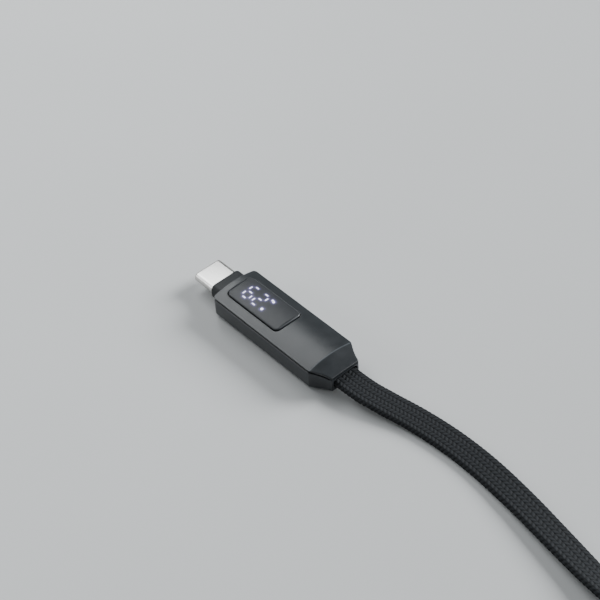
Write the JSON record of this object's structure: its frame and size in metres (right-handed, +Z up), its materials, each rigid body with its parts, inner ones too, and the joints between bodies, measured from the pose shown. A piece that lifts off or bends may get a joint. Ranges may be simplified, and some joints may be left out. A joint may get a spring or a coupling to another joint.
{
  "type": "usb power meter",
  "caption": "Flat woven USB-C charging cable whose slim plug head has a raised window with a lit power read-out; the far end has a plain USB-C plug.",
  "frame": {"origin": "centre of the plug head's outline, on the flat surface that its underside rests on", "axes": "+X from the plug's tip towards the cable, +Y across the head, +Z up through the display window"},
  "size_m": [0.246, 0.056, 0.0083],
  "materials": {
    "charcoal_housing": "fine matt moulded plastic",
    "black_plastic": "plain black moulded plastic",
    "tinted_window": "smoked plastic, satin top",
    "light_bars": "white light bars that glow",
    "plated_steel": "nickel plated",
    "gold_contacts": "gold plated",
    "circuit_board": "green solder mask",
    "chip_resin": "black epoxy",
    "ceramic": "fired ceramic",
    "woven_jacket": "flat braided yarn",
    "hook_and_loop": "hook-and-loop tape",
    "red_insulation": "wire insulation",
    "black_insulation": "wire insulation",
    "blue_insulation": "wire insulation",
    "green_insulation": "wire insulation",
    "white_insulation": "wire insulation"
  },
  "bodies": {
    "root": {"plug_shell": "plated_steel", "plug_insulator": "black_plastic", "upper_contact_wafer": "gold_contacts", "lower_contact_wafer": "gold_contacts", "upper_ground_spring": "plated_steel", "lower_ground_spring": "plated_steel", "latch_plate": "plated_steel", "nose_collar": "charcoal_housing", "lower_housing": "charcoal_housing", "upper_housing": "charcoal_housing", "display_window": "tinted_window", "window_gasket": "black_plastic", "segment_display": "light_bars", "meter_board": "circuit_board", "meter_chip": "chip_resin", "emarker_chip": "chip_resin", "regulator": "chip_resin", "shunt_resistor": "plated_steel", "input_capacitor": "ceramic", "output_capacitor": "ceramic", "inner_mould": "black_plastic", "vbus_wire": "red_insulation", "dplus_wire": "green_insulation", "cc_wire": "blue_insulation", "dminus_wire": "white_insulation", "ground_wire": "black_insulation", "cable_run": "woven_jacket", "cable_hank": "woven_jacket", "cable_lead": "woven_jacket", "cable_tie": "hook_and_loop", "far_plug_shell": "plated_steel", "far_plug_insulator": "black_plastic", "far_upper_contact_wafer": "gold_contacts", "far_lower_contact_wafer": "gold_contacts", "far_upper_ground_spring": "plated_steel", "far_lower_ground_spring": "plated_steel", "far_latch_plate": "plated_steel", "far_nose_collar": "charcoal_housing", "far_lower_housing": "charcoal_housing", "far_upper_housing": "charcoal_housing", "far_paddle_board": "circuit_board", "far_emarker_chip": "chip_resin", "far_inner_mould": "black_plastic", "far_vbus_wire": "red_insulation", "far_dplus_wire": "green_insulation", "far_cc_wire": "blue_insulation", "far_dminus_wire": "white_insulation", "far_ground_wire": "black_insulation"}
  },
  "joints": []
}
